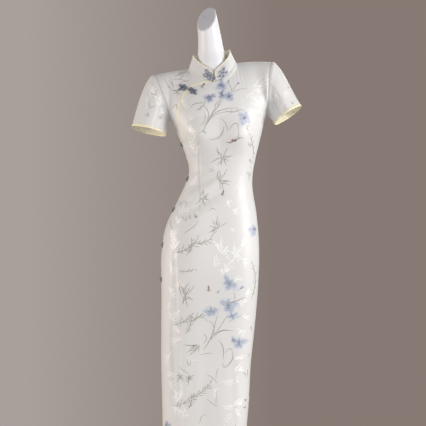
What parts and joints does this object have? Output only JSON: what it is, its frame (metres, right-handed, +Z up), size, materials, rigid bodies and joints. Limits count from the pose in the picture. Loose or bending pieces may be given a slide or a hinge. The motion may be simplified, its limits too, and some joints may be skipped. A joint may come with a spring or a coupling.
{
  "type": "cheongsam dress on a dress form",
  "caption": "Long slim cheongsam with stand collar, slanting bound opening, knotted cord buttons, short set-in sleeves and side slits, on a limbless dress form with a stand.",
  "frame": {"origin": "centre of the underside of the round base plate, which rests on the floor", "axes": "+Z up along the pole; the dress faces -Y; +X is the wearer's left"},
  "size_m": [0.5415, 0.34, 1.5812],
  "materials": {
    "satin": "pale silk satin jacquard with woven plant and bird motifs",
    "binding": "cream satin bias binding",
    "button_cord": "slate blue and ochre satin cord",
    "form_white": "white semi-gloss gel coat",
    "form_cap": "grey",
    "steel": "brushed"
  },
  "bodies": {
    "root": {"front": "satin", "back": "satin", "under_front": "satin", "sleeve_left": "satin", "sleeve_right": "satin", "collar": "satin", "collar_binding": "binding", "cuff_binding_left": "binding", "cuff_binding_right": "binding", "opening_binding": "binding", "hem_binding_front": "binding", "hem_binding_back": "binding", "slit_binding_front_left": "binding", "slit_binding_back_left": "binding", "slit_binding_back_right": "binding", "button_neck_left": "button_cord", "button_neck_right": "button_cord", "button_neck_knot": "button_cord", "button_chest_upper": "button_cord", "button_chest_lower": "button_cord", "button_chest_knot": "button_cord", "button_side_1_front": "button_cord", "button_side_1_back": "button_cord", "button_side_1_knot": "button_cord", "button_side_2_front": "button_cord", "button_side_2_back": "button_cord", "button_side_2_knot": "button_cord", "button_side_3_front": "button_cord", "button_side_3_back": "button_cord", "button_side_3_knot": "button_cord", "button_side_4_front": "button_cord", "button_side_4_back": "button_cord", "button_side_4_knot": "button_cord", "button_side_5_front": "button_cord", "button_side_5_back": "button_cord", "button_side_5_knot": "button_cord", "dress_form": "form_white", "neck_cap": "form_cap", "form_flange": "steel", "pole": "steel", "pole_socket": "steel", "base_plate": "steel"}
  },
  "joints": []
}
